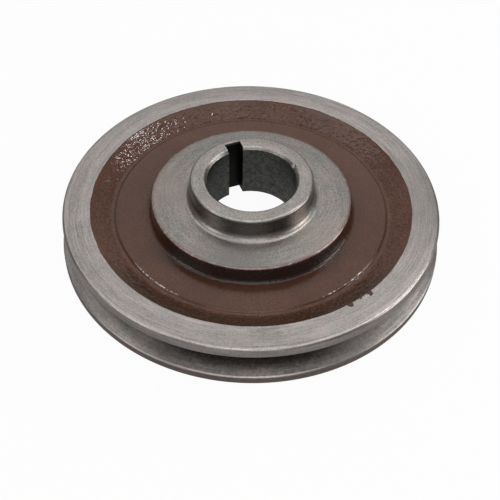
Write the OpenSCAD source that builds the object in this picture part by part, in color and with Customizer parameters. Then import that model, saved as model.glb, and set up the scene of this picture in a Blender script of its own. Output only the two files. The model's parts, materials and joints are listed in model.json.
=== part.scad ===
// Crankshaft pulley: one iron casting with a single belt groove, a dished web,
// a raised hub flange and a turned nose round a keyed bore.
// Millimetres. Z runs along the bore axis, nose up. The origin is on that axis,
// in the plane of the rim's back face, which the pulley rests on.

/* [Rim] */
// Outside diameter of the front lip
rim_d = 200; // [194:1:240]
// How far the back lip stands out beyond the front lip
back_lip_over = 1.5; // [0:0.1:3]
// Width of the rim along the axis
rim_w = 24; // [23.5:0.5:29]
// Radial width of the turned front face
front_face_w = 14.5; // [12:0.5:17]
// Radial width of the turned back face
back_face_w = 22; // [20:0.5:25]
// Rounding of the turned edges
rim_edge_r = 0.7; // [0.2:0.1:0.9]

/* [Belt groove] */
// Opening of the groove between the lips
groove_w = 14.1; // [13:0.1:15.5]
// Depth of the groove below the front lip
groove_depth = 14; // [11:0.5:15]
// Included angle between the two flanks, in degrees
groove_angle = 36; // [32:1:40]
// Rounding of the two corners at the root
groove_round_r = 1.2; // [0.5:0.1:2]
// Width of the lip on the front side
front_lip_w = 5.4; // [4:0.1:5.8]

/* [Web] */
// Depth of the web's floor below the rim's front face
web_drop = 4.8; // [3.5:0.1:7]
// Thickness of the web
web_t = 8.6; // [6:0.2:9.4]
// Diameter of the floor's edge, where it steps down into the valley at the cast slope's foot
step_d = 144; // [140:0.5:148]
// How far that step runs outward
step_w = 0.8; // [0.5:0.1:1.2]
// Depth of the valley below the floor
step_depth = 0.6; // [0.3:0.1:1]
// Rounding of the floor's edge
step_edge_r = 0.3; // [0.1:0.05:0.4]
// Rounding at the foot of the step
step_foot_r = 1.2; // [0.5:0.1:1.4]
// Width of the valley
valley_w = 1.8; // [1.6:0.1:2.5]
// Rounding where the valley meets the cast slope
valley_round_r = 3.5; // [2:0.5:4]
// Fillet where the back of the web meets the rim
back_fillet_r = 4; // [2:0.5:5]
// Draft of the cast walls, in degrees
draft = 5; // [2:1:8]

/* [Hub] */
// Diameter of the flange's turned face
flange_d = 106; // [98:0.5:112]
// Height of that face above the rim's front face
flange_rise = 4.3; // [2:0.1:7]
// Rounding of the flange's rim
flange_edge_r = 0.8; // [0.2:0.1:1]
// Fillet where the flange's wall meets the floor
flange_fillet_r = 2; // [1:0.1:3]
// Diameter of the turned nose
nose_d = 65; // [62:0.5:72]
// Height of the nose above the flange's face
nose_h = 12.5; // [8:0.5:20]
// Fillet at the foot of the nose
nose_fillet_r = 4; // [1:0.1:5]
// Rounding of the nose's rim
nose_edge_r = 1.2; // [0.3:0.1:2]
// Diameter of the boss on the back of the web
back_boss_d = 76; // [66:1:90]
// Height of that boss
back_boss_h = 2.3; // [1.4:0.1:3]
// Rounding at the foot and rim of that boss
boss_round_r = 0.5; // [0.2:0.1:0.6]

/* [Bore] */
// Diameter of the bore
bore_d = 47; // [42:0.1:49]
// Chamfer at the nose end of the bore
bore_chamfer = 1.5; // [0.3:0.1:1.6]
// Chamfer at the back end of the bore
back_chamfer = 0.5; // [0.2:0.1:1.6]
// Width of the keyway
key_w = 8; // [5:0.1:12]
// Depth of the keyway beyond the bore wall
key_depth = 5.3; // [2:0.1:6]
// Direction of the keyway about the axis, in degrees from +X
key_angle = 112; // [0:1:359]

/* [Hidden] */

// Facets on a full turn, and on one rounded corner of the section
turn_facets = 180;
corner_steps = 5;
// How far a cutting tool runs past the surface that it cuts
overrun = 1;

rim_r = rim_d / 2;
bore_r = bore_d / 2;
nose_r = nose_d / 2;
flange_r = flange_d / 2;
back_boss_r = back_boss_d / 2;
back_lip_r = rim_r + back_lip_over;
step_r = step_d / 2;
step_foot_at_r = step_r + step_w;
valley_r = step_foot_at_r + valley_w;
front_face_r = rim_r - front_face_w;
back_face_r = rim_r - back_face_w;

floor_z = rim_w - web_drop;
valley_z = floor_z - step_depth;
web_back_z = floor_z - web_t;
hub_back_z = web_back_z - back_boss_h;
flange_z = rim_w + flange_rise;
nose_z = flange_z + nose_h;

groove_top_z = rim_w - front_lip_w;
groove_bottom_z = groove_top_z - groove_w;
root_axis_r = rim_r - groove_depth;

// How far a groove flank runs along the axis between the root and a lip of this radius
function flank_run(lip_r) = (lip_r - root_axis_r) * tan(groove_angle / 2);

// How far a drafted cast wall leans over a given height
function lean(height) = height * tan(draft);

function unit(v) = v / norm(v);

// Points of the arc that rounds corner b of the outline a, b, c; a radius of 0 leaves it sharp
function rounded_corner(a, b, c, r) =
    r == 0 ? [b] :
    let (
        to_a = unit(a - b),
        to_c = unit(c - b),
        half = acos(to_a * to_c) / 2,
        centre = b + unit(to_a + to_c) * r / sin(half),
        first = b + to_a * r / tan(half) - centre,
        last = b + to_c * r / tan(half) - centre,
        start = atan2(first.y, first.x),
        sweep = atan2(cross(first, last), first * last)
    )
    [for (i = [0 : corner_steps])
        centre + r * [cos(start + sweep * i / corner_steps), sin(start + sweep * i / corner_steps)]];

// Closed outline through corners given as [radius, height, rounding]
function rounded_outline(corners) =
    let (n = len(corners), at = [for (c = corners) [c[0], c[1]]])
    [for (i = [0 : n - 1])
        each rounded_corner(at[(i + n - 1) % n], at[i], at[(i + 1) % n], corners[i][2])];

// The half section of the casting, as turned and cast, before the keyway is broached
back_corners = [
    [bore_r, hub_back_z + back_chamfer, 0],
    [bore_r + back_chamfer, hub_back_z, 0],
    [back_boss_r, hub_back_z, boss_round_r],
    [back_boss_r + lean(back_boss_h), web_back_z, boss_round_r],
    [back_face_r - lean(web_back_z), web_back_z, back_fillet_r],
    [back_face_r, 0, rim_edge_r]
];
rim_corners = [
    [back_lip_r, 0, rim_edge_r],
    [back_lip_r, groove_bottom_z, rim_edge_r],
    [root_axis_r, groove_bottom_z + flank_run(back_lip_r), groove_round_r],
    [root_axis_r, groove_top_z - flank_run(rim_r), groove_round_r],
    [rim_r, groove_top_z, rim_edge_r],
    [rim_r, rim_w, rim_edge_r]
];
web_corners = [
    [front_face_r, rim_w, rim_edge_r],
    [valley_r, valley_z, valley_round_r],
    [step_foot_at_r, valley_z, step_foot_r],
    [step_r, floor_z, step_edge_r]
];
hub_corners = [
    [flange_r + lean(flange_z - floor_z), floor_z, flange_fillet_r],
    [flange_r, flange_z, flange_edge_r],
    [nose_r, flange_z, nose_fillet_r],
    [nose_r, nose_z, nose_edge_r],
    [bore_r + bore_chamfer, nose_z, 0],
    [bore_r, nose_z - bore_chamfer, 0]
];

module keyway() {
    rotate([0, 0, key_angle])
        translate([0, -key_w / 2, hub_back_z - overrun])
            cube([bore_r + key_depth, key_w, nose_z - hub_back_z + 2 * overrun]);
}

module pulley() {
    color([0.56, 0.54, 0.52])
        difference() {
            rotate_extrude($fn = turn_facets)
                polygon(rounded_outline(concat(back_corners, rim_corners, web_corners, hub_corners)));
            keyway();
        }
}

pulley();
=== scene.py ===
# %% [markdown]
# # A cast crankshaft pulley
#
# The real object is one iron casting. A lathe has bared its rim, belt groove, hub face, nose and
# bore, and a red-brown primer still covers the cast web between them. All but the keyway turns about
# one axis, so this lesson sweeps one section about that axis, roughens the cast skin, broaches the
# keyway and then gives the bare iron and the primer their finish.

# %% Load the frame
import json
import math
from collections import namedtuple

import bmesh
import bpy
import numpy as np
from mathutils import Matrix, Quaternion, Vector


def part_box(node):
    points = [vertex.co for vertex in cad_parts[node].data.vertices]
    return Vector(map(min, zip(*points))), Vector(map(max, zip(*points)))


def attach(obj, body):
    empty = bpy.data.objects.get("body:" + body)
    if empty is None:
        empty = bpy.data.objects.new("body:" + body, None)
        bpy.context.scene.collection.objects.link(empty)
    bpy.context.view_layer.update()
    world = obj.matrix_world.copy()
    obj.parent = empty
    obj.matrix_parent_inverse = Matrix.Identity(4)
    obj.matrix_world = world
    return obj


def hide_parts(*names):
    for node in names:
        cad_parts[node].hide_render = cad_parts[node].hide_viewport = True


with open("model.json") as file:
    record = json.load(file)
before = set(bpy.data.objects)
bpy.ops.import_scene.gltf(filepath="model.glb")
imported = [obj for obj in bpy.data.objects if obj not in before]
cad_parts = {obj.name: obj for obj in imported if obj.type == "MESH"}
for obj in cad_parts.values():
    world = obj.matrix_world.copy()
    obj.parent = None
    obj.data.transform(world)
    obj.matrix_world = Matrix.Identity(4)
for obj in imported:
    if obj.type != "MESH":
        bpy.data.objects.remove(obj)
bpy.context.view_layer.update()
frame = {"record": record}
mm = 0.001

# %% [markdown]
# ## Sizes
#
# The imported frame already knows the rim, the bore, the nose and the hub's back face, so those are
# read from it. The smaller sizes are written here in millimetres, as on a drawing, and each place is
# worked out from the face that a turner would measure it from. Edges that wear has softened get their
# worn rounding.

# %% Sizes of the rim and the belt groove
mounts = {mount["name"]: mount for mount in frame["record"]["mounts"]}
far_corner = [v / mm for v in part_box("pulley")[1]]
back_lip_r = far_corner[0]
nose_z = far_corner[2]
bore_r = mounts["bore"]["dims"]["r_mm"]
nose_r = mounts["nose"]["dims"]["r_mm"]
hub_back_z = mounts["bolt_seat"]["pos_m"][2] / mm

back_lip_over = 1.5
rim_r = back_lip_r - back_lip_over
rim_w = 24
rim_edge = 0.7
rim_worn = 1.8
front_face_w = 14.5
front_face_r = rim_r - front_face_w
back_face_w = 22
back_face_r = rim_r - back_face_w

front_lip_w = 5.4
groove_w = 14.1
groove_depth = 14
groove_round = 1.2
flank_lean = math.tan(math.radians(18))
groove_top_z = rim_w - front_lip_w
groove_bottom_z = groove_top_z - groove_w
root_r = rim_r - groove_depth
print("rim", round(2 * rim_r, 1), "mm across, bore", 2 * bore_r, "mm, groove", groove_w, "mm wide")

# %% [markdown]
# ### The web and the hub
#
# The web is a dish between the rim and the hub: a flat floor, a small step down to a valley, and a cast
# slope up to the rim. The hub is a flange with a nose on it. Cast walls lean by a few degrees of draft,
# so that the pattern could be drawn out of the sand.

# %% Sizes of the web and the hub
web_drop = 4.8
web_t = 8.6
floor_z = rim_w - web_drop
web_back_z = floor_z - web_t
step_r = 72
step_w = 0.8
step_depth = 0.6
step_edge = 0.8
step_foot = 1.2
step_foot_r = step_r + step_w
valley_z = floor_z - step_depth
valley_w = 1.8
valley_r = step_foot_r + valley_w
valley_round = 3.5
slope = math.atan2(rim_w - valley_z, front_face_r - valley_r)
draft = math.tan(math.radians(5))
back_fillet = 4

flange_r = 53
flange_rise = 4.3
flange_z = rim_w + flange_rise
flange_edge = 0.8
flange_worn = 0.5
flange_fillet = 2
nose_fillet = 4
nose_edge = 1.7
bore_chamfer = 1.5
chamfer_round = 0.8
back_chamfer = 0.5
boss_r = 38
boss_round = 0.5
print("web", web_t, "mm thick, cast slope at", round(math.degrees(slope), 1), "degrees")

# %% [markdown]
# ## The section, corner by corner
#
# Each corner gives its radius and height, how much it is rounded, the finish of the face that starts
# there and the longest step along that face. A turned face needs few points. The cast skin needs a
# point every half millimetre, so that its grain can be real geometry. The cast slope runs on above
# the rim's face: the lathe's cut is made later, and that gives the primer its true uneven edge.

# %% Corners and finishes
Corner = namedtuple("Corner", "radius height rounding finish step")
TURNED, CAST, FACED, WALL, BACK = "turned", "cast", "faced", "wall", "back"
GRAIN = {TURNED: 0.0, CAST: 1.0, FACED: 0.12, WALL: 0.6, BACK: 0.08}
FAR = 1000.0
slope_step, floor_step, wall_step, back_step = 0.5, 1.3, 0.8, 3.0
cut_run = 2.5
cut_gap = 0.5

corners = [
    Corner(bore_r, hub_back_z + back_chamfer, 0, TURNED, FAR),
    Corner(bore_r + back_chamfer, hub_back_z, 0, TURNED, FAR),
    Corner(boss_r, hub_back_z, boss_round, BACK, FAR),
    Corner(boss_r + (web_back_z - hub_back_z) * draft, web_back_z, boss_round, BACK, back_step),
    Corner(back_face_r - web_back_z * draft, web_back_z, back_fillet, BACK, back_step),
    Corner(back_face_r, 0, rim_edge, TURNED, FAR),
    Corner(back_lip_r, 0, rim_edge, TURNED, FAR),
    Corner(back_lip_r, groove_bottom_z, rim_edge, TURNED, FAR),
    Corner(root_r, groove_bottom_z + (back_lip_r - root_r) * flank_lean, groove_round, TURNED, FAR),
    Corner(root_r, groove_top_z - (rim_r - root_r) * flank_lean, groove_round, TURNED, FAR),
    Corner(rim_r, groove_top_z, rim_edge, TURNED, FAR),
    Corner(rim_r, rim_w, rim_worn, TURNED, FAR),
    Corner(front_face_r + cut_run + cut_gap, rim_w, 0, TURNED, FAR),
    Corner(front_face_r + cut_run, rim_w + cut_run * math.tan(slope), 0, CAST, slope_step),
    Corner(valley_r, valley_z, valley_round, CAST, FAR),
    Corner(step_foot_r, valley_z, step_foot, FACED, FAR),
    Corner(step_r, floor_z, step_edge, FACED, floor_step),
    Corner(flange_r + (flange_z - floor_z) * draft, floor_z, flange_fillet, WALL, wall_step),
    Corner(flange_r + flange_worn * draft, flange_z - flange_worn, 0, TURNED, FAR),
    Corner(flange_r, flange_z, flange_edge, TURNED, FAR),
    Corner(nose_r, flange_z, nose_fillet, TURNED, FAR),
    Corner(nose_r, nose_z, nose_edge, TURNED, FAR),
    Corner(bore_r + bore_chamfer, nose_z, chamfer_round, TURNED, FAR),
    Corner(bore_r, nose_z - bore_chamfer, 0, TURNED, FAR),
]
print(len(corners), "corners in the section")

# %% [markdown]
# ### Rounding the corners
#
# A Bevel modifier could round the edges of the finished mesh, but then every edge would need its own
# weight. Rounding the section's corners first is plain geometry: an arc touches both faces, and its
# centre lies on the line that halves the corner.


# %% Round the corners and step along the faces
def corner_arc(before, corner, after, radius, steps):
    """Points of the arc that rounds one corner, or the corner itself where it is sharp."""
    if radius == 0:
        return [corner]
    to_before = (before - corner).normalized()
    to_after = (after - corner).normalized()
    half = to_before.angle(to_after) / 2
    centre = corner + (to_before + to_after).normalized() * (radius / math.sin(half))
    first = corner + to_before * (radius / math.tan(half)) - centre
    last = corner + to_after * (radius / math.tan(half)) - centre
    start = math.atan2(first.y, first.x)
    sweep = math.atan2(first.x * last.y - first.y * last.x, first.dot(last))
    turns = [start + sweep * i / steps for i in range(steps + 1)]
    return [centre + radius * Vector((math.cos(turn), math.sin(turn))) for turn in turns]


def section_points(corners, wide_arc=1.2, wide_arc_steps=6, small_arc_steps=3):
    """The section's points in order, each with the finish of the face it is on."""
    at = [Vector((corner.radius, corner.height)) for corner in corners]
    count = len(at)
    arcs = []
    for i, corner in enumerate(corners):
        steps = wide_arc_steps if corner.rounding >= wide_arc else small_arc_steps
        arcs.append(corner_arc(at[i - 1], at[i], at[(i + 1) % count], corner.rounding, steps))
    points, finishes = [], []
    for i, corner in enumerate(corners):
        begin, end = arcs[i][-1], arcs[(i + 1) % count][0]
        steps = max(1, math.ceil((end - begin).length / corner.step))
        face = arcs[i] + [begin.lerp(end, k / steps) for k in range(1, steps)]
        points += face
        finishes += [corner.finish] * len(face)
    return points, finishes


points, finishes = section_points(corners)
print(len(points), "points round the section")

# %% [markdown]
# ## What each point carries
#
# The finishes later need to know where they are, so every point of the section carries some values.
# The first are its distance along the section, the height of the lathe's cut and how coarse the cast
# grain is there. The grain fades near the cut, so that the primer's edge is uneven but not ragged.

# %% Distance, cut and grain along the section
grain_blur = 1.5
grain_fade = 3.0
fade_end = 0.5
least_grain = 0.15

ring = points + points[:1]
ring_finishes = finishes + finishes[:1]
radii = np.array([p.x for p in ring])
heights = np.array([p.y for p in ring])
cut = np.array([rim_w if name == CAST else FAR for name in ring_finishes])
lengths = np.hypot(np.diff(radii), np.diff(np.minimum(heights, cut)))
along = np.concatenate([[0.0], np.cumsum(lengths)])

grain = np.array([GRAIN[name] for name in ring_finishes])
near = np.abs(along[:, None] - along[None, :]) < grain_blur
grain = np.where(grain > 0, near @ grain / near.sum(axis=1), 0.0)
near_cut = np.clip((front_face_r - fade_end - radii) / grain_fade, least_grain, 1.0)
grain = np.where(cut < FAR, grain * near_cut, grain)
print("section is", round(along[-1], 1), "mm round, with grain on", int((grain > 0).sum()), "points")

# %% [markdown]
# ### The primer's edge and the outward direction
#
# The primer ends where a turned face begins, so each point also carries its distance from the nearest
# such edge, positive where there is primer. The direction out of the iron is square to the section.

# %% Primer's edge, directions and the rows of the bore
primed = np.array([name != TURNED for name in ring_finishes])
changes = np.nonzero(primed[1:] != primed[:-1])[0]
edges = (along[changes] + along[changes + 1]) / 2
nearest = np.min(np.abs(along[:, None] - edges[None, :]), axis=1)
primer_edge = np.where(primed, nearest, -nearest)
primer_edge[cut < FAR] = FAR

tangents = np.stack([np.gradient(radii), np.gradient(heights)], axis=1)
tangents /= np.maximum(np.linalg.norm(tangents, axis=1), 1e-9)[:, None]
flat = np.zeros(len(ring))
bore_margin = 0.01
carried = {
    "place": np.stack([radii * mm, flat, heights * mm], axis=1),
    "outward": np.stack([tangents[:, 1], flat, -tangents[:, 0]], axis=1),
    "grain": grain,
    "cut": cut * mm,
    "primer_edge": primer_edge,
    "along": along,
    "bore_row": (radii < bore_r + bore_chamfer + chamfer_round / 2).astype(float),
    "bored": (radii < bore_r + bore_margin).astype(float),
}
kinds = {name: "FLOAT_VECTOR" if values.ndim == 2 else "FLOAT" for name, values in carried.items()}
print("primer's edges at", np.round(edges, 1), "mm along the section")

# %% [markdown]
# ## Sweeping the section with Geometry Nodes
#
# A lathe could be the Screw modifier, but Geometry Nodes can also push the cast skin in and out by a
# noise before the rim is faced off. A node tree is easier to write with a few helpers: one that feeds
# a socket, one that adds a node, and others for sums and noises.


# %% Helpers for node trees
def feed(tree, socket, value):
    """Links a socket to a socket, or sets its plain value."""
    if isinstance(value, bpy.types.NodeSocket):
        tree.links.new(value, socket)
    else:
        socket.default_value = value


def add_node(tree, kind, inputs=(), **settings):
    """A new node with its settings and its inputs, given by name or by number."""
    node = tree.nodes.new(kind)
    for name, value in settings.items():
        setattr(node, name, value)
    for key, value in dict(inputs).items():
        feed(tree, node.inputs[key], value)
    return node


def maths(tree, operation, *values):
    """The result of one Math node."""
    return add_node(tree, "ShaderNodeMath", dict(enumerate(values)), operation=operation).outputs[0]


def vector_maths(tree, operation, inputs):
    """The result of one Vector Math node: a length or a distance, or else a vector."""
    node = add_node(tree, "ShaderNodeVectorMath", inputs, operation=operation)
    return node.outputs["Value" if operation in ("LENGTH", "DISTANCE") else "Vector"]


def noise(tree, vector, scale, detail, roughness, seed):
    """A noise from 0 to 1 with a fixed seed."""
    inputs = {"Vector": vector, "W": seed, "Scale": scale, "Detail": detail, "Roughness": roughness}
    node = add_node(tree, "ShaderNodeTexNoise", inputs, noise_dimensions="4D")
    return node.outputs["Fac"] if "Fac" in node.outputs else node.outputs[0]


print("helpers:", ", ".join(helper.__name__ for helper in (feed, add_node, maths, vector_maths, noise)))

# %% [markdown]
# ### Rows and columns
#
# The sweep starts from a flat grid with one row for each point of the section and one column for each
# step round the axis. A point's index tells its row and column. The row looks up the section's values,
# and the column gives the angle that they swing through.


# %% From a grid to places round the axis
def swept_grid(tree, given):
    """The grid's mesh, with each point's row in the section and its angle round the axis."""
    columns = maths(tree, "ADD", given["Steps round"], 1)
    grid = add_node(tree, "GeometryNodeMeshGrid", {"Vertices X": given["Rows"], "Vertices Y": columns})
    index = add_node(tree, "GeometryNodeInputIndex").outputs[0]
    row = maths(tree, "FLOOR", maths(tree, "DIVIDE", maths(tree, "ADD", index, 0.5), columns))
    column = maths(tree, "SUBTRACT", index, maths(tree, "MULTIPLY", row, columns))
    turn = maths(tree, "MULTIPLY", maths(tree, "DIVIDE", column, given["Steps round"]), math.tau)
    return grid.outputs["Mesh"], row, maths(tree, "ADD", turn, given["Start angle"])


def sampled(tree, section, row, name):
    """A named value of the section, looked up for each row of the grid."""
    kind = kinds[name]
    value = add_node(tree, "GeometryNodeInputNamedAttribute", {"Name": name}, data_type=kind)
    inputs = {"Geometry": section, "Index": row, "Value": value.outputs["Attribute"]}
    return add_node(tree, "GeometryNodeSampleIndex", inputs, data_type=kind, domain="POINT").outputs[0]


def turned_about_z(tree, vector, angle):
    """A vector of the section's plane, swung round the axis."""
    inputs = {"Vector": vector, "Angle": angle}
    return add_node(tree, "ShaderNodeVectorRotate", inputs, rotation_type="Z_AXIS").outputs[0]


print("each row looks up", len(kinds), "values of the section:", ", ".join(kinds))

# %% [markdown]
# ### Sand grain and the lathe's cut
#
# Sand leaves a fine grain on a casting, and a worn mould leaves slow lumps. Both push the skin along
# its outward direction, as far as the finish there allows. The lathe then takes away all that stands
# above the rim's face, and what is left below it keeps its primer.


# %% Roughen the skin and face it off
def roughened(tree, given, place, normal, grain_here):
    """Each place pushed in or out by the sand grain and by slower lumps."""
    swings = []
    for tall, size in [("Grain height", "Grain size"), ("Lump height", "Lump size")]:
        scale = maths(tree, "DIVIDE", 1, given[size])
        swing = noise(tree, place, scale, detail=0.5, roughness=0.5, seed=given["Seed"])
        swing = maths(tree, "SUBTRACT", swing, 0.5)
        swings.append(maths(tree, "MULTIPLY", swing, maths(tree, "MULTIPLY", given[tall], grain_here)))
    push = vector_maths(tree, "SCALE", {0: normal, "Scale": maths(tree, "ADD", *swings)})
    return vector_maths(tree, "ADD", {0: place, 1: push})


def faced_off(tree, given, place, cut_here):
    """Each place cut back to the lathe's plane, and how far along the slope it was below that plane."""
    parts = add_node(tree, "ShaderNodeSeparateXYZ", {0: place}).outputs
    below = maths(tree, "DIVIDE", maths(tree, "SUBTRACT", cut_here, parts["Z"]), given["Slope"])
    turned = {"X": parts["X"], "Y": parts["Y"], "Z": maths(tree, "MINIMUM", parts["Z"], cut_here)}
    faced = add_node(tree, "ShaderNodeCombineXYZ", turned).outputs[0]
    return faced, maths(tree, "MULTIPLY", below, 1 / mm)


print("share of the grain on each finish:", GRAIN)

# %% [markdown]
# ### The whole tree
#
# The tree's sizes are named inputs, so the same tree could sweep another casting. It stores what the
# finish reads, sets the places, welds the seam where the last column meets the first, and ends in
# Realize Instances and Set Material.


# %% Build the sweeping tree
def casting_tree(weld=0.004):
    """Geometry Nodes: section in, swept and roughened casting out."""
    tree = bpy.data.node_groups.new("swept casting", "GeometryNodeTree")
    socket_kinds = {"Section": "Geometry", "Rows": "Int", "Steps round": "Int", "Finish": "Material"}
    sizes = ["Start angle", "Grain height", "Grain size", "Lump height", "Lump size", "Slope", "Seed"]
    socket_kinds.update({name: "Float" for name in sizes})
    sockets = {}
    for name, kind in socket_kinds.items():
        socket = tree.interface.new_socket(name=name, in_out="INPUT", socket_type="NodeSocket" + kind)
        sockets[name] = socket.identifier
    tree.interface.new_socket(name="Casting", in_out="OUTPUT", socket_type="NodeSocketGeometry")
    given = tree.nodes.new("NodeGroupInput").outputs

    mesh, row, angle = swept_grid(tree, given)
    found = {name: sampled(tree, given["Section"], row, name) for name in kinds}
    place = turned_about_z(tree, found["place"], angle)
    normal = turned_about_z(tree, found["outward"], angle)
    rough = roughened(tree, given, place, normal, found["grain"])
    faced, below = faced_off(tree, given, rough, found["cut"])
    found["primer_edge"] = maths(tree, "MINIMUM", found["primer_edge"], below)

    for name in ("primer_edge", "along", "grain", "bore_row", "bored"):
        inputs = {"Geometry": mesh, "Name": name, "Value": found[name]}
        mesh = add_node(tree, "GeometryNodeStoreNamedAttribute", inputs, data_type="FLOAT").outputs[0]
    for kind, inputs in [
        ("GeometryNodeSetPosition", {"Position": faced}),
        ("GeometryNodeMergeByDistance", {"Distance": weld * mm}),
        ("GeometryNodeRealizeInstances", {}),
        ("GeometryNodeSetMaterial", {"Material": given["Finish"]}),
    ]:
        mesh = add_node(tree, kind, {"Geometry": mesh, **inputs}).outputs[0]
    feed(tree, tree.nodes.new("NodeGroupOutput").inputs[0], mesh)
    return tree, sockets


lathe, lathe_inputs = casting_tree()
print("sweeping tree with", len(lathe.nodes), "nodes and", len(lathe_inputs), "inputs")

# %% [markdown]
# ## Two finishes on one skin
#
# Bare iron and primer meet along an uneven edge, and the edge belongs to the surface and not to the
# mesh. So one material holds both: a mask made from the distance to the primer's edge, shaken a
# little by a noise, chooses between them. All of it ends in one shader, which an export can bake.
# Short helpers for numbers let each line of a finish read like a sentence.

# %% Helpers for numbers in the finish
finish = bpy.data.materials.new("turned_iron_and_primer")
finish.use_nodes = True
nodes = finish.node_tree
nodes.nodes.clear()


def product(*values):
    """Several numbers multiplied."""
    total = values[0]
    for value in values[1:]:
        total = maths(nodes, "MULTIPLY", total, value)
    return total


def summed(*values):
    """Several numbers added up."""
    total = values[0]
    for value in values[1:]:
        total = maths(nodes, "ADD", total, value)
    return total


def inverse(value):
    """1 where a mask is 0, and 0 where it is 1."""
    return maths(nodes, "SUBTRACT", 1, value)


def centred(value, size):
    """A noise from 0 to 1 turned into a swing of a given size about 0."""
    return product(maths(nodes, "SUBTRACT", value, 0.5), size)


def ramp(value, low, high):
    """0 at low, 1 at high and smooth between."""
    inputs = {"Value": value, "From Min": low, "From Max": high}
    return add_node(nodes, "ShaderNodeMapRange", inputs, interpolation_type="SMOOTHSTEP").outputs[0]


def mixed(amount, first, second):
    """A number between two others."""
    node = add_node(nodes, "ShaderNodeMix", data_type="FLOAT")
    for number, value in zip((0, 2, 3), (amount, first, second)):
        feed(nodes, node.inputs[number], value)
    return node.outputs[0]


print("material", finish.name, "is ready for its nodes")

# %% [markdown]
# ### Helpers for colours
#
# Dirt mostly darkens what is under it, so it is best multiplied in: a grey shades a colour evenly, and
# a tint also shifts its hue. A paint that hides the iron is mixed in instead.


# %% Helpers for colours in the finish
def mixed_colour(amount, first, second, blend="MIX"):
    """A colour between two others."""
    node = add_node(nodes, "ShaderNodeMix", data_type="RGBA", blend_type=blend)
    for number, value in zip((0, 6, 7), (amount, first, second)):
        feed(nodes, node.inputs[number], value)
    return node.outputs[2]


def shaded(colour, value):
    """A colour made darker or lighter by a number."""
    grey = add_node(nodes, "ShaderNodeCombineColor", {0: value, 1: value, 2: value}).outputs[0]
    return mixed_colour(1.0, colour, grey, "MULTIPLY")


def tinted(amount, colour, tint):
    """A colour multiplied by a tint where a mask says so."""
    return mixed_colour(amount, colour, mixed_colour(1.0, colour, tint, "MULTIPLY"))


print("colours are mixed, shaded or tinted")

# %% [markdown]
# ### Where a point is on the pulley
#
# Dirt, wear, painted shade and turning marks all follow the round shape, so the finish works in millimetres
# from the axis and from the back face, and in the direction that a point faces round the axis. These come
# from Object coordinates. The distance along the section comes from the sweep, as an attribute.


# %% Places that the finish reads
def attribute(name):
    """A value that the sweep left on the mesh."""
    return add_node(nodes, "ShaderNodeAttribute", attribute_name=name).outputs["Fac"]


here = add_node(nodes, "ShaderNodeTexCoord").outputs["Object"]
here = vector_maths(nodes, "SCALE", {0: here, "Scale": 1 / mm})
across = vector_maths(nodes, "MULTIPLY", {0: here, 1: (1, 1, 0)})
from_axis = vector_maths(nodes, "LENGTH", {0: across})
heading = vector_maths(nodes, "NORMALIZE", {0: across})
facing = add_node(nodes, "ShaderNodeSeparateXYZ", {0: heading}).outputs
up_here = add_node(nodes, "ShaderNodeSeparateXYZ", {0: here}).outputs["Z"]
along_here = attribute("along")
grain_here = attribute("grain")
edge_here = attribute("primer_edge")
bored_here = attribute("bored")
on_rim = ramp(from_axis, flange_r + 0.5, flange_r + 1.5)
on_hub = inverse(on_rim)
print("places read with", len(nodes.nodes), "nodes")

# %% [markdown]
# ### Marks of the lathe
#
# A lathe tool leaves fine rings, some deeper than others, that run a few centimetres and fade. A Wave
# texture would draw perfect circles. A noise stretched round the axis gives rings that begin and end,
# as a worn tool's do. Speckle, mottle and stains are plain noises at their own scales.


# %% Noises of the turned iron
def surface_noise(per_mm, detail, roughness, seed):
    """A noise in the pulley's own space, with this many features to a millimetre."""
    return noise(nodes, here, per_mm, detail, roughness, seed)


def ring_noise(per_mm, arc, detail, seed):
    """A noise drawn out along the turning marks: fine across them and long round the axis."""
    inputs = {0: product(along_here, per_mm), 1: product(facing["X"], arc), 2: product(facing["Y"], arc)}
    vector = add_node(nodes, "ShaderNodeCombineXYZ", inputs).outputs[0]
    return noise(nodes, vector, 1.0, detail, 0.6, seed)


fine_marks = ring_noise(per_mm=1.6, arc=5.0, detail=3.0, seed=1.0)
broad_marks = ring_noise(per_mm=0.3, arc=1.5, detail=2.0, seed=2.0)
mottle = surface_noise(per_mm=0.09, detail=4.0, roughness=0.6, seed=3.0)
speckle = surface_noise(per_mm=1.2, detail=3.0, roughness=0.65, seed=4.0)
stains = ramp(surface_noise(per_mm=0.05, detail=5.0, roughness=0.7, seed=5.0), 0.52, 0.74)
print("turning marks ready,", len(nodes.nodes), "nodes so far")

# %% [markdown]
# ### Colour of the turned iron
#
# Bare cast iron is grey with a slight warm and cool mottle. The rim is the brightest, the nose's end
# comes next and the flange is dull. The rings and the speckle swing the grey up and down, more rings
# on the rim and more speckle on the hub.

# %% Colour of the turned iron
rim_warm, rim_cool = (0.50, 0.445, 0.422, 1), (0.454, 0.424, 0.404, 1)
hub_warm, hub_cool = (0.386, 0.339, 0.315, 1), (0.33, 0.325, 0.303, 1)
stained_and_shaded_iron = (0.26, 0.25, 0.241, 1)
nose_brightness = 0.45
stain_strength = 0.35
hub_speckle, rim_speckle = 2.0, 1.2
hub_streaks, rim_streaks = 0.9, 1.3
broad_streaks = 0.5

on_nose = ramp(up_here, nose_z - 2.5, nose_z - 0.5)
brighter = maths(nodes, "MAXIMUM", on_rim, product(on_nose, nose_brightness))
warm_iron = mixed_colour(brighter, hub_warm, rim_warm)
cool_iron = mixed_colour(brighter, hub_cool, rim_cool)
iron = mixed_colour(ramp(mottle, 0.35, 0.65), warm_iron, cool_iron)
iron = mixed_colour(product(stains, stain_strength), iron, stained_and_shaded_iron)
speckled = centred(speckle, mixed(on_rim, hub_speckle, rim_speckle))
streaks = centred(fine_marks, mixed(on_rim, hub_streaks, rim_streaks))
iron = shaded(iron, summed(1.0, streaks, centred(broad_marks, broad_streaks), speckled))
print("iron coloured from", rim_warm[:3], "on the rim to", hub_cool[:3], "on the hub")
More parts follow.
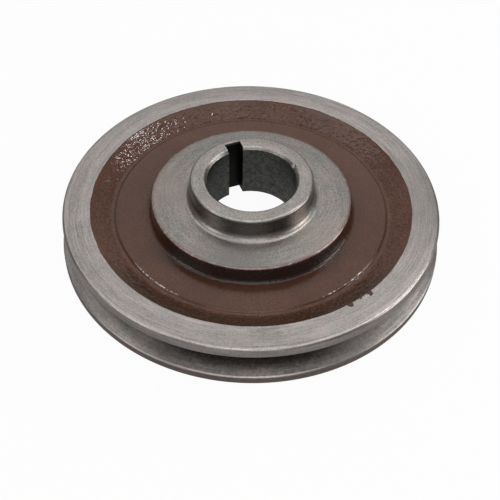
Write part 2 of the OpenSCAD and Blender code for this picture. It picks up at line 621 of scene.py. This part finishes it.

# %% [markdown]
# ### The nose's wall, and how rough the iron is
#
# A seal has run on the nose, so its wall is smoother than the faces round it, and its colour is darkened as
# painted shade. The rings also go into the roughness and into a bump of a few hundredths of a millimetre.

# %% Painted shade on the nose's wall, roughness and height
nose_wall_painted_shade = 0.5
turned_rough, sealed_rough = 0.36, 0.28
rough_swing = 0.1
ring_height, speckle_height = 0.045, 0.008

on_wall = product(
    ramp(up_here, flange_z + 2.0, flange_z + 4.5),
    ramp(up_here, nose_z - 0.6, nose_z - 1.4),
    ramp(from_axis, nose_r - 2.0, nose_r - 0.5),
)
# Painted shade: the nose's wall is darkened all round.
iron = shaded(iron, mixed(on_wall, 1.0, nose_wall_painted_shade))
iron_rough = mixed(on_wall, turned_rough, sealed_rough)
iron_rough = summed(iron_rough, centred(fine_marks, rough_swing), centred(mottle, rough_swing))
iron_height = summed(centred(fine_marks, ring_height), centred(speckle, speckle_height))
print("iron's roughness about", turned_rough, "and", sealed_rough, "on the nose's wall")

# %% [markdown]
# ### Worn edge of the flange
#
# The flange's edge has been knocked and rubbed: a bright pinkish line runs along it, broken here and there,
# and some primer is smeared over it. A noise cuts both into patches. The line's brighter colour is partly
# wear and partly a painted highlight.

# %% Worn edge of the flange, with a painted highlight
worn_and_highlit_iron = (0.62, 0.50, 0.46, 1)
rubbed_primer = (0.27, 0.165, 0.145, 1)
rubbed_strength = 0.9

worn = inverse(ramp(product(edge_here, -1), 0.9, 1.7))
worn_patches = ramp(surface_noise(per_mm=0.25, detail=3.0, roughness=0.6, seed=12.0), 0.35, 0.6)
# Partly wear, partly painted highlight: a brighter pinkish iron along the flange's edge.
iron = mixed_colour(product(worn, on_hub, worn_patches), iron, worn_and_highlit_iron)

rubbed_patches = ramp(surface_noise(per_mm=0.45, detail=4.0, roughness=0.7, seed=19.0), 0.38, 0.52)
rubbed = product(
    ramp(from_axis, flange_r - 2.0, flange_r - 0.7),
    ramp(up_here, flange_z - 2.0, flange_z - 1.0),
    rubbed_patches,
    on_hub,
    rubbed_strength,
)
iron = mixed_colour(rubbed, iron, rubbed_primer)
print("flange's edge worn at", flange_z, "mm up and", flange_r, "mm out")

# %% [markdown]
# ### Smudges, dull patches and painted shade
#
# Hands and oil leave small smudges on the rim's face. Two wide dark patches, on the rim's right and on the
# flange's front, are painted shade, and two lighter brownish patches lie on the flange. Each is a spot: the
# distance from a place on the pulley, shaken by a noise so that its edge is ragged.


# %% Smudges, patches and painted shade on the iron
def spot(place, reach, blur, seed, lumps=0.5):
    """1 within reach of a place, with a ragged edge, and 0 beyond it."""
    away = vector_maths(nodes, "DISTANCE", {0: here, 1: place})
    ragged_by = surface_noise(per_mm=lumps, detail=3.0, roughness=0.6, seed=seed)
    away = summed(away, centred(ragged_by, 2 * reach))
    return inverse(ramp(away, reach - blur, reach + blur))


smudge_strength = 0.3
smudges = [((95.1, 7.4, rim_w), 13.0), ((94.8, 20.8, rim_w), 14.0)]
for place, seed in smudges:
    smudge = product(spot(place, reach=1.8, blur=1.0, seed=seed), smudge_strength)
    iron = mixed_colour(smudge, iron, stained_and_shaded_iron)

hazed_iron = (0.43, 0.337, 0.30, 1)
# The first two patches are painted shade: they darken the rim's right and the flange's front.
patches = [
    ((92.0, 0.0, rim_w), 28.0, 0.34, stained_and_shaded_iron, 21.0),
    ((-6.0, -44.0, flange_z), 15.0, 0.6, stained_and_shaded_iron, 22.0),
    ((-45.0, 4.0, flange_z), 14.0, 0.4, hazed_iron, 23.0),
    ((36.0, -28.0, flange_z), 11.0, 0.4, hazed_iron, 24.0),
]
for place, reach, strength, colour, seed in patches:
    patch = product(spot(place, reach, 0.8 * reach, seed, lumps=0.08), strength)
    iron = mixed_colour(patch, iron, colour)
print(len(smudges), "smudges and", len(patches), "dull patches")

# %% [markdown]
# ### Grime and painted shade in the bore, the groove and on the back lip
#
# Patchy grime darkens the bore. Its keyway is darkened almost to black, partly grime and partly painted
# shade. Grime lies deep in the belt groove, and its front side is darkened further as painted shade. The
# back lip's wall is darkened and browned. These marks only darken the iron, so their masks choose how much
# of the iron's colour is left.

# %% Grime and painted shade in the bore, the groove and on the back lip
grime = ramp(surface_noise(per_mm=0.55, detail=4.0, roughness=0.7, seed=10.0), 0.35, 0.7)
# The keyway is darkened almost to black, partly grime and partly painted shade.
in_keyway = ramp(from_axis, bore_r + 0.2, bore_r + 0.8)
bore_grime_and_shade = mixed(in_keyway, mixed(grime, 0.8, 0.35), 0.12)

in_groove = product(
    ramp(from_axis, back_lip_r - 0.3, back_lip_r - 1.2),
    inverse(ramp(up_here, groove_top_z - 0.2, groove_top_z + 0.2)),
    ramp(from_axis, root_r - 1.5, root_r - 0.5),
)
# Painted shade: the front side of the groove is darkened far more than the rest.
groove_front_in_shade = ramp(facing["Y"], -0.8, -0.99)
groove_grime_and_shade = mixed(grime, mixed(groove_front_in_shade, 0.95, 0.36), mixed(groove_front_in_shade, 0.7, 0.2))
groove_grime_and_shade = mixed(in_groove, 1.0, groove_grime_and_shade)

back_lip_darkening = (0.58, 0.5, 0.47, 1)
oiled_bore = (0.92, 1, 1, 1)
# The back lip's wall is darkened and browned.
on_back_lip = product(
    ramp(from_axis, back_lip_r - 0.7, back_lip_r - 0.2),
    mixed(grime, 0.8, 1.0),
    ramp(up_here, groove_bottom_z - 0.1, groove_bottom_z - 0.7),
)
iron = tinted(on_back_lip, iron, back_lip_darkening)
iron = shaded(iron, mixed(bored_here, groove_grime_and_shade, bore_grime_and_shade))
iron = tinted(bored_here, iron, oiled_bore)
print("grimy iron ready,", len(nodes.nodes), "nodes so far")

# %% [markdown]
# ### Primer over the cast skin
#
# The primer is a thin glossy coat, so the sand grain of the casting shows through it and glitters
# where it faces the light. The coarse grain is geometry; only the finest of it, and the paint's own
# orange peel, are bump. The colour is a deep red-brown with a mottle and, on the slope, a fine grit.

# %% Primer's colour, roughness and height
deep_primer = (0.088, 0.0355, 0.021, 1)
light_primer = (0.109, 0.046, 0.0275, 1)
smooth_speckle, cast_speckle = 1.8, 3.0
grit_strength = 0.5
gloss, gloss_swing = 0.15, 0.06
grain_bump, peel_bump = 0.26, 0.06

primer_mottle = surface_noise(per_mm=0.06, detail=4.0, roughness=0.65, seed=8.0)
primer = mixed_colour(ramp(primer_mottle, 0.3, 0.7), deep_primer, light_primer)
speckled = centred(speckle, mixed(grain_here, smooth_speckle, cast_speckle))
primer = shaded(primer, summed(1.0, speckled))

grit = ramp(surface_noise(per_mm=1.1, detail=2.0, roughness=0.6, seed=25.0), 0.36, 0.64)
gritty = product(ramp(facing["Y"], 0.4, 0.0), ramp(from_axis, valley_r, valley_r + 2.0), grain_here)
primer = shaded(primer, summed(1.0, product(centred(grit, grit_strength), gritty)))

fine_grain = surface_noise(per_mm=0.6, detail=1.0, roughness=0.5, seed=6.0)
peel = surface_noise(per_mm=0.8, detail=2.0, roughness=0.55, seed=7.0)
primer_rough = summed(gloss, centred(fine_grain, gloss_swing))
primer_height = summed(product(centred(fine_grain, grain_bump), grain_here), centred(peel, peel_bump))
print("primer from", deep_primer[:3], "to", light_primer[:3], "with roughness", gloss)

# %% [markdown]
# ### Painted shade on the primer
#
# Shade is painted on the flange's wall and on the front of the cast slope, and a shadow is painted on the
# floor at the wall's foot, mostly in front. This darkens the primer and greys it a little. The back of the
# web isn't darkened.

# %% Painted shade on the web's front side
wall_shade, slope_shade, foot_shade = 0.6, 0.68, 0.68
slope_shade_tint = (0.93, 1.2, 1.32, 1)
wall_shade_tint = (0.9, 1.25, 1.7, 1)
foot_raggedness = 9.0
foot_elsewhere = 0.15

front_in_shade = ramp(facing["Y"], -0.42, -0.75)
wall_painted_shade = inverse(ramp(from_axis, flange_r + 1.0, flange_r + 3.5))
slope_painted_shade = product(front_in_shade, ramp(from_axis, valley_r + 1.0, valley_r + 3.0))
foot_noise = surface_noise(per_mm=0.9, detail=3.0, roughness=0.6, seed=17.0)
ragged = summed(from_axis, centred(foot_noise, foot_raggedness))
foot_painted_shadow = inverse(ramp(ragged, flange_r + 5.0, flange_r + 11.0))
foot_painted_shadow = product(foot_painted_shadow, mixed(front_in_shade, foot_elsewhere, 1.0))

# Painted shade on the wall and the front slope, and a painted shadow at the wall's foot.
primer_shade = product(
    mixed(wall_painted_shade, 1.0, wall_shade),
    mixed(slope_painted_shade, 1.0, slope_shade),
    mixed(foot_painted_shadow, 1.0, foot_shade),
)
on_front_side = ramp(up_here, web_back_z + 2.0, web_back_z + 4.0)
primer = shaded(primer, mixed(on_front_side, 1.0, primer_shade))
# The painted shade is also greyed by a tint.
primer = tinted(slope_painted_shade, primer, slope_shade_tint)
primer = tinted(product(wall_painted_shade, front_in_shade), primer, wall_shade_tint)
print("dirt on the wall, the slope and the foot, down to", round(wall_shade * foot_shade, 2))

# %% [markdown]
# ### Painted shade in the step
#
# The floor of the web drops a little before the cast slope begins, and shade is painted in that crease as a
# dark line, thickest on the left. A line round the pulley is the distance along the section from one of its
# points.


# %% Painted shade in the step's foot
def line_round(radius, height, full, none):
    """1 on the circle through a point of the section, fading to 0 beside it."""
    at = float(along[np.argmin(np.hypot(radii - radius, heights - height))])
    beside = maths(nodes, "ABSOLUTE", maths(nodes, "SUBTRACT", along_here, at))
    return inverse(ramp(beside, full, none))


crease_painted_shade = (0.02, 0.01, 0.008, 1)
crease_thin, crease_thick = 0.3, 0.75
to_the_left = ramp(facing["X"], -0.7, -0.95)
crease = line_round(step_foot_r, valley_z, full=0.1, none=0.6)
crease = product(crease, mixed(to_the_left, crease_thin, crease_thick))
# Painted shade: a dark line along the step's foot.
primer = mixed_colour(crease, primer, crease_painted_shade)
print("crease at", step_foot_r, "mm from the axis")

# %% [markdown]
# ### The primer's uneven edge
#
# The sweep left on the mesh how far each point is from the cut through the primer. Slow waves and small
# bits shake that distance, more round the flange than on the rim. A few smears of primer lie on the
# rim's face, where a brush touched it.

# %% The mask between iron and primer
edge_softness = 0.15
wave_size, flange_bits, rim_bits = 0.7, 2.2, 0.6
edge_waves = centred(surface_noise(per_mm=0.12, detail=1.0, roughness=0.5, seed=9.0), wave_size)
edge_bits = surface_noise(per_mm=0.9, detail=3.0, roughness=0.6, seed=11.0)
edge_bits = centred(edge_bits, mixed(on_rim, flange_bits, rim_bits))
mask = ramp(summed(edge_here, edge_waves, edge_bits), -edge_softness, edge_softness)

smears = [
    ((58.9, -62.7, rim_w), 1.7, 15.0),
    ((54.4, -66.2, rim_w), 0.7, 18.0),
    ((49.2, -70.5, rim_w), 1.6, 16.0),
]
for place, reach, seed in smears:
    mask = maths(nodes, "MAXIMUM", mask, spot(place, reach, blur=0.3, seed=seed))
print("primer's edge with", len(smears), "smears")

# %% [markdown]
# ### Painted glints: dashes of bare iron on the step
#
# The step's upper edge stands proud. On two stretches in front it is bared in short dashes of iron, as
# painted glints where light catches that edge. They are taken out of the mask, and the iron underneath
# shows.

# %% Bare the step's edge in dashes, as painted glints
aside = maths(nodes, "ABSOLUTE", facing["X"])
glint_arc = product(ramp(aside, 0.42, 0.56), ramp(aside, 0.86, 0.72), ramp(facing["Y"], -0.2, -0.4))
dashes = ramp(surface_noise(per_mm=0.5, detail=2.0, roughness=0.5, seed=20.0), 0.46, 0.56)
painted_glints = product(line_round(step_r, floor_z, full=0.12, none=0.4), glint_arc, dashes)
# Painted glints: bare iron in dashes where the step's edge would catch the light.
mask = product(mask, inverse(painted_glints))
print("dashes on the edge at", step_r, "mm from the axis")

# %% [markdown]
# ### Both finishes in one shader
#
# Two shaders behind a Mix Shader would look the same here, but an exporter wants one. So the mask mixes
# the colours, the roughness and the heights, and switches metal on and off. The primer's film adds a
# few hundredths of a millimetre of height, which draws its edge.

# %% Both finishes in one shader
film = 0.05
height = summed(mixed(mask, iron_height, primer_height), product(mask, film))
bump = add_node(nodes, "ShaderNodeBump", {"Strength": 1.0, "Distance": mm, "Height": height})
shader_inputs = {
    "Base Color": mixed_colour(mask, iron, primer),
    "Metallic": mixed(mask, 1.0, 0.0),
    "Roughness": mixed(mask, iron_rough, primer_rough),
    "Specular IOR Level": 0.4,
    "Normal": bump.outputs[0],
}
shader = add_node(nodes, "ShaderNodeBsdfPrincipled", shader_inputs)
add_node(nodes, "ShaderNodeOutputMaterial", {"Surface": shader.outputs[0]})
print("finish with", len(nodes.nodes), "nodes")

# %% [markdown]
# ## Casting the pulley
#
# The section goes in as a chain of points and edges. Each point's values become attributes of that mesh,
# which is the way that Geometry Nodes can look them up by name.

# %% The section as a mesh
section_mesh = bpy.data.meshes.new("section")
chain = [(i, i + 1) for i in range(len(ring) - 1)]
section_mesh.from_pydata(carried["place"].tolist(), chain, [])
for name, values in carried.items():
    field = "vector" if kinds[name] == "FLOAT_VECTOR" else "value"
    attribute_data = section_mesh.attributes.new(name, kinds[name], "POINT").data
    attribute_data.foreach_set(field, np.ascontiguousarray(values, np.float32).ravel())
print("section mesh with", len(section_mesh.vertices), "points")

# %% [markdown]
# ### The sweep itself
#
# The modifier's inputs are set by their identifiers before the tree first runs. The evaluated result
# becomes a plain mesh, because the keyway is cut by hand next, and the blank with its modifier goes.

# %% Sweep the section
key_angle = math.radians(112)
steps_round = 592
lathe_settings = {
    "Rows": len(ring),
    "Steps round": steps_round,
    "Start angle": key_angle,
    "Grain height": 0.6 * mm,
    "Grain size": 1.6 * mm,
    "Lump height": 0.5 * mm,
    "Lump size": 14.0 * mm,
    "Slope": math.tan(slope),
    "Seed": 4.0,
    "Finish": finish,
}

blank = bpy.data.objects.new("blank", section_mesh)
bpy.context.scene.collection.objects.link(blank)
sweep = blank.modifiers.new("sweep", "NODES")
sweep.node_group = lathe
for name, value in lathe_settings.items():
    sweep[lathe_inputs[name]] = value
depsgraph = bpy.context.evaluated_depsgraph_get()
casting = bpy.data.meshes.new_from_object(blank.evaluated_get(depsgraph))
bpy.data.objects.remove(blank)
print("casting:", len(casting.vertices), "vertices,", len(casting.polygons), "faces")

# %% [markdown]
# ## Broaching the keyway
#
# A boolean would cut the keyway, but it would also break the tidy rows of faces. The sweep starts at
# the keyway's middle, so the same vertices of each bore row can slide out to the slot's two sides and
# its floor, and the rows stay whole. First each vertex of the bore counts its steps from the middle.

# %% Find the vertices that line the keyway
mouth_steps = 18
where = np.empty(len(casting.vertices) * 3, np.float32)
casting.vertices.foreach_get("co", where)
where = where.reshape(-1, 3).astype(float) / mm
in_bore = np.empty(len(casting.vertices), np.float32)
casting.attributes["bore_row"].data.foreach_get("value", in_bore)
turned_by = np.arctan2(where[:, 1], where[:, 0]) - key_angle
turned_by = np.round(np.mod(turned_by + math.pi, math.tau) - math.pi, 9)
step = np.round(turned_by / (math.tau / steps_round))
slot = (in_bore > 0.5) & (np.abs(step) <= mouth_steps)
print(int(slot.sum()), "vertices line the keyway")

# %% [markdown]
# ### The slot's sides and floor
#
# The outer steps on each side climb the slot's walls, and the steps between them spread over its floor.
# The slot is a little wider and deeper where it leaves the bore, as a deburred one is.

# %% Slide them out
key_half = 4.0
key_depth = 5.3
key_break = 0.4
side_steps = 6
corner_step = mouth_steps - side_steps

row_r = np.hypot(where[slot, 0], where[slot, 1])
flare = key_break * (row_r > bore_r + back_chamfer / 2)
half = key_half + flare
mouth = np.sqrt(row_r**2 - half**2)
up_side = np.clip((mouth_steps - np.abs(step[slot])) / side_steps, 0, 1)
out = mouth + (bore_r + key_depth + flare - mouth) * up_side
sideways = half * np.clip(step[slot] / corner_step, -1, 1)
where[slot, 0] = out * math.cos(key_angle) - sideways * math.sin(key_angle)
where[slot, 1] = out * math.sin(key_angle) + sideways * math.cos(key_angle)
print("keyway", 2 * key_half, "mm wide and", key_depth, "mm deep")

# %% [markdown]
# ### A nick in the bore's edge
#
# A knock has left one small nick in the chamfer. The vertices near that place sink, the nearest the
# most. The flat end of the nose stays as it was turned.

# %% Nick the edge and give the mesh its new places
nick_place = np.array([22.6, 10.3, nose_z])
nick_reach = 1.6
nick_depth = 1.2
chamfer_end_r = bore_r + bore_chamfer + 0.2

away = np.linalg.norm(where - nick_place, axis=1)
away[np.hypot(where[:, 0], where[:, 1]) > chamfer_end_r] = FAR
where[:, 2] -= nick_depth * np.clip(1 - away / nick_reach, 0, 1)
casting.vertices.foreach_set("co", (where * mm).astype(np.float32).ravel())
casting.attributes.remove(casting.attributes["bore_row"])
print("nick in", int((away < nick_reach).sum()), "vertices")

# %% [markdown]
# ### Closing the mesh
#
# The welded grid is closed, but its faces may point inwards, so the normals are recalculated. Faces
# that meet at a shallow angle are shaded smooth, and the sharp turned edges stay sharp. The casting
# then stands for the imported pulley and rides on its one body.

# %% Close the mesh and shade it
sharp_angle = math.radians(35)
solid = bmesh.new()
solid.from_mesh(casting)
bmesh.ops.recalc_face_normals(solid, faces=solid.faces)
open_edges = sum(1 for edge_of_mesh in solid.edges if not edge_of_mesh.is_manifold)
volume = solid.calc_volume()
solid.to_mesh(casting)
solid.free()
casting.polygons.foreach_set("use_smooth", np.ones(len(casting.polygons), bool))
casting.set_sharp_from_angle(angle=sharp_angle)
casting.name = "pulley_casting"
pulley = bpy.data.objects.new("pulley_casting", casting)
bpy.context.scene.collection.objects.link(pulley)
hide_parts("pulley")
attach(pulley, "root")
print("open edges:", open_edges, "volume in cm3:", round(volume * 1e6, 1))

# %% [markdown]
# ## Stage
#
# The pulley lies on a pale floor. The camera sees that floor as nearly white, and the soft shadow stays
# in what is left of the paper. Light Path's rays tell who is looking: the floor glows a little for
# shiny surfaces, and sends less light back up at the pulley than the camera sees.

# %% Floor
floor_glow, floor_mirrored = 0.95, 0.12
paper_dim, paper_pale = 0.35, 0.9
half_width = 3.0

paper = bpy.data.materials.new("pale_floor")
paper.use_nodes = True
paper_nodes = paper.node_tree
paper_nodes.nodes.clear()
rays = add_node(paper_nodes, "ShaderNodeLightPath").outputs
seen = maths(paper_nodes, "MULTIPLY", rays["Is Camera Ray"], floor_glow)
seen = maths(paper_nodes, "ADD", seen, maths(paper_nodes, "MULTIPLY", rays["Is Glossy Ray"], floor_mirrored))
tint_inputs = {"Value": rays["Is Camera Ray"], "To Min": paper_dim, "To Max": paper_pale}
tint = add_node(paper_nodes, "ShaderNodeMapRange", tint_inputs).outputs[0]
tint = add_node(paper_nodes, "ShaderNodeCombineColor", {0: tint, 1: tint, 2: tint}).outputs[0]
matt = add_node(paper_nodes, "ShaderNodeBsdfDiffuse", {"Color": tint}).outputs[0]
glow = add_node(paper_nodes, "ShaderNodeEmission", {"Color": (1, 1, 1, 1), "Strength": 1.0}).outputs[0]
blend = add_node(paper_nodes, "ShaderNodeMixShader", {0: seen, 1: matt, 2: glow})
add_node(paper_nodes, "ShaderNodeOutputMaterial", {"Surface": blend.outputs[0]})

floor_mesh = bpy.data.meshes.new("floor")
signs = [(-1, -1), (1, -1), (1, 1), (-1, 1)]
floor_mesh.from_pydata([(x * half_width, y * half_width, 0) for x, y in signs], [], [(0, 1, 2, 3)])
floor_mesh.materials.append(paper)
floor = bpy.data.objects.new("floor", floor_mesh)
bpy.context.scene.collection.objects.link(floor)
print("floor", 2 * half_width, "m wide")

# %% [markdown]
# ### Softboxes
#
# Bare metal shows what stands round it, so the light is a ring of plain softboxes and not one lamp. A
# small bright one at the back right makes the cast grain glitter, wide ones above give the turned faces
# their grey, and weak ones in front leave the walls that face the camera dark. Each is placed by its
# heading round the axis and its height, both in degrees, and has the brightness that a mirror shows.


# %% Softboxes
def softbox(name, heading_deg, height_deg, size, brightness, distance=1.2):
    """A rectangular lamp that faces the pulley and looks this bright in a mirror."""
    lamp = bpy.data.lights.new(name, "AREA")
    lamp.shape = "RECTANGLE"
    lamp.size, lamp.size_y = size
    lamp.energy = brightness * math.pi * size[0] * size[1]
    box = bpy.data.objects.new(name, lamp)
    turn, rise = math.radians(heading_deg), math.radians(height_deg)
    towards = Vector((math.cos(rise) * math.cos(turn), math.cos(rise) * math.sin(turn), math.sin(rise)))
    box.location = towards * distance
    box.rotation_euler = towards.to_track_quat("Z", "Y").to_euler()
    bpy.context.scene.collection.objects.link(box)
    return box


softboxes = [
    softbox("key_lamp", 33, 57, (0.08, 0.08), 60.0),
    softbox("key_softbox", 25, 56, (0.5, 0.4), 1.0),
    softbox("top_softbox", 20, 80, (0.42, 0.6), 1.26),
    softbox("top_left_softbox", 156, 64, (0.42, 0.69), 1.7),
    softbox("top_front_softbox", 270, 68, (0.9, 0.8), 1.25),
    softbox("front_softbox", 270, 42, (0.9, 0.6), 0.8),
    softbox("front_low_softbox", 270, 14, (1.4, 0.4), 0.3),
    softbox("back_softbox", 90, 50, (0.7, 0.7), 0.46),
    softbox("back_wide_softbox", 90, 40, (2.0, 0.9), 0.36),
    softbox("back_low_softbox", 90, 14, (2.0, 0.5), 0.24),
    softbox("left_softbox", 205, 34, (0.6, 0.6), 2.0),
    softbox("left_back_softbox", 140, 30, (0.6, 0.6), 0.46),
    softbox("right_softbox", 0, 26, (0.6, 0.5), 4.4),
]
print(len(softboxes), "softboxes round the pulley")

# %% [markdown]
# ### World
#
# The camera sees a white world beyond the floor. The iron mirrors a little of it, and almost none of
# its light falls on the pulley, so the softboxes alone shape it.

# %% World
sky_seen, sky_mirrored, sky_light = 1.0, 0.04, 0.02
world = bpy.data.worlds.new("studio")
world.use_nodes = True
sky = world.node_tree
background = sky.nodes["Background"].inputs
background["Color"].default_value = (1, 1, 1, 1)
sky_rays = add_node(sky, "ShaderNodeLightPath").outputs
strength_inputs = {"Value": sky_rays["Is Camera Ray"], "To Min": sky_light, "To Max": sky_seen}
strength = add_node(sky, "ShaderNodeMapRange", strength_inputs).outputs[0]
mirrored = maths(sky, "MULTIPLY", sky_rays["Is Glossy Ray"], sky_mirrored)
feed(sky, background["Strength"], maths(sky, "ADD", strength, mirrored))
bpy.context.scene.world = world
print("world:", sky_seen, "for the camera,", sky_mirrored, "more in mirrors,", sky_light, "as light")

# %% [markdown]
# ## Camera
#
# The camera stands in front of the pulley and looks down at about 47 degrees, through a short telephoto
# lens. It leans a little, as the one that took the picture did.

# %% Camera
camera_data = bpy.data.cameras.new("camera")
camera_data.lens = 71.2
camera_data.sensor_width = 36
camera = bpy.data.objects.new("camera", camera_data)
camera.location = Vector((0, -378.7, 391.9)) * mm
aim = Vector((-0.1, -35.9, 24.0)) * mm
lean = math.radians(1.247)
sight = aim - camera.location
camera.rotation_mode = "QUATERNION"
camera.rotation_quaternion = sight.to_track_quat("-Z", "Y") @ Quaternion((0, 0, 1), lean)
bpy.context.scene.collection.objects.link(camera)
bpy.context.scene.camera = camera
bpy.context.scene.view_settings.view_transform = "Standard"
looks_down = math.degrees(math.asin(-sight.z / sight.length))
print("camera", round(sight.length, 2), "m away, looking down at", round(looks_down), "degrees")

# %% [markdown]
# ## End

# Worn edges and grain must not make the pulley larger than its drawing.

# %% End
print("scene built")
